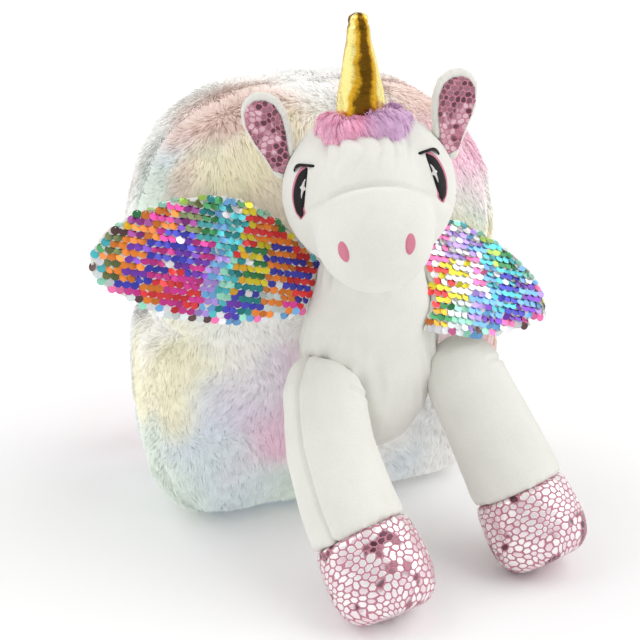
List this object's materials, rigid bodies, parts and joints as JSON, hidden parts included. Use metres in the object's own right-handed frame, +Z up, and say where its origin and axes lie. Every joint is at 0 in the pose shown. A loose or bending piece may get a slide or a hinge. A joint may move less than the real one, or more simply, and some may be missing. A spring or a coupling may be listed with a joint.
{
  "type": "child's plush animal backpack",
  "caption": "Child's fur-fabric backpack with a zip round its top, a stuffed unicorn with sequin wings and long forelegs on its front, padded shoulder straps and a grab loop.",
  "frame": {"origin": "on the surface that the backpack stands on, under the middle of the bag's base", "axes": "+Z up; the unicorn faces -Y and the wearer's back lies at +Y; +X to the right seen from the front"},
  "size_m": [0.3083, 0.3354, 0.3666],
  "materials": {
    "bag_fur": "long-pile fur fabric, tie-dyed in pastel pink, peach, mint, pale blue and white",
    "zip_tape": "woven pink zip tape",
    "zip_plastic": "pink moulded coil and painted slider",
    "webbing": "hot-pink woven webbing",
    "adjuster": "pale pink moulded plastic",
    "label": "plain grey woven cloth with pale stitches",
    "plush": "short off-white plush",
    "gold_cloth": "glossy gold foil-coated cloth",
    "forelock_fur": "pink and lilac fur fabric",
    "scale_cloth": "pink knitted cloth with small silver foil scales",
    "eye_thread": "satin embroidery in black, pink and white",
    "nostril_thread": "pink satin embroidery",
    "sequins": "glossy rainbow sequins in overlapping rows on a white plush back"
  },
  "bodies": {
    "root": {"front_shell": "bag_fur", "rear_shell": "bag_fur", "zip_tape": "zip_tape", "zip_chain": "zip_plastic", "zip_slider": "zip_plastic", "grab_loop": "webbing", "back_label": "label", "shoulder_pad_left": "bag_fur", "shoulder_pad_right": "bag_fur", "strap_webbing_left": "webbing", "strap_webbing_right": "webbing", "strap_adjuster_left": "adjuster", "strap_adjuster_right": "adjuster", "anchor_tab_left": "webbing", "anchor_tab_right": "webbing", "torso": "plush", "head": "plush", "horn": "gold_cloth", "forelock": "forelock_fur", "ear_left": "plush", "ear_right": "plush", "ear_lining_left": "scale_cloth", "ear_lining_right": "scale_cloth", "eye_left": "eye_thread", "eye_right": "eye_thread", "nostril_left": "nostril_thread", "nostril_right": "nostril_thread", "leg_left": "plush", "leg_right": "plush", "hoof_left": "scale_cloth", "hoof_right": "scale_cloth", "wing_left": "sequins", "wing_right": "sequins"}
  },
  "joints": []
}
